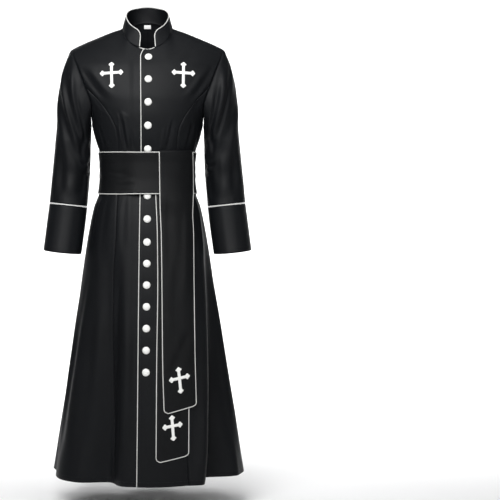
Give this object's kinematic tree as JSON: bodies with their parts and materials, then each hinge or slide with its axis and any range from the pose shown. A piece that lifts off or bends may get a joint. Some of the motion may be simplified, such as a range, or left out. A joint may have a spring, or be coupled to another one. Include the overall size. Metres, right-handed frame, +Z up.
{
  "type": "clergy robe",
  "caption": "Long fitted black robe with standing collar, set-in sleeves and flared skirt, white piping, domed buttons, crosses and a wide band sash with two hanging tails, worn shape.",
  "frame": {"origin": "middle of the neck, level with the point where the collar meets the shoulder seams", "axes": "+Z up along the standing wearer, -Y towards the robe's front, +X towards the wearer's left"},
  "size_m": [0.627, 0.5236, 1.4314],
  "materials": {
    "black_cloth": "satin",
    "sash_cloth": "satin",
    "white_piping": "satin",
    "white_button": "gloss",
    "white_applique": "matte"
  },
  "bodies": {
    "root": {"front_left": "black_cloth", "side_front_left": "black_cloth", "back_left": "black_cloth", "sleeve_left": "black_cloth", "cuff_left": "black_cloth", "piping_cuff_left": "white_piping", "cross_chest_left": "white_applique", "front_right": "black_cloth", "side_front_right": "black_cloth", "back_right": "black_cloth", "sleeve_right": "black_cloth", "cuff_right": "black_cloth", "piping_cuff_right": "white_piping", "cross_chest_right": "white_applique", "collar": "black_cloth", "piping_collar": "white_piping", "piping_front": "white_piping", "piping_neck": "white_piping", "piping_band_top": "white_piping", "piping_band_bottom": "white_piping", "piping_tail_upper": "white_piping", "piping_tail_under": "white_piping", "sash_band": "sash_cloth", "tail_upper": "sash_cloth", "tail_under": "sash_cloth", "button_01": "white_button", "button_02": "white_button", "button_03": "white_button", "button_04": "white_button", "button_05": "white_button", "button_06": "white_button", "button_07": "white_button", "button_08": "white_button", "button_09": "white_button", "button_10": "white_button", "button_11": "white_button", "button_12": "white_button", "button_13": "white_button", "button_14": "white_button", "button_15": "white_button", "cross_tail_upper": "white_applique", "cross_tail_under": "white_applique", "label": "white_applique"}
  },
  "joints": []
}
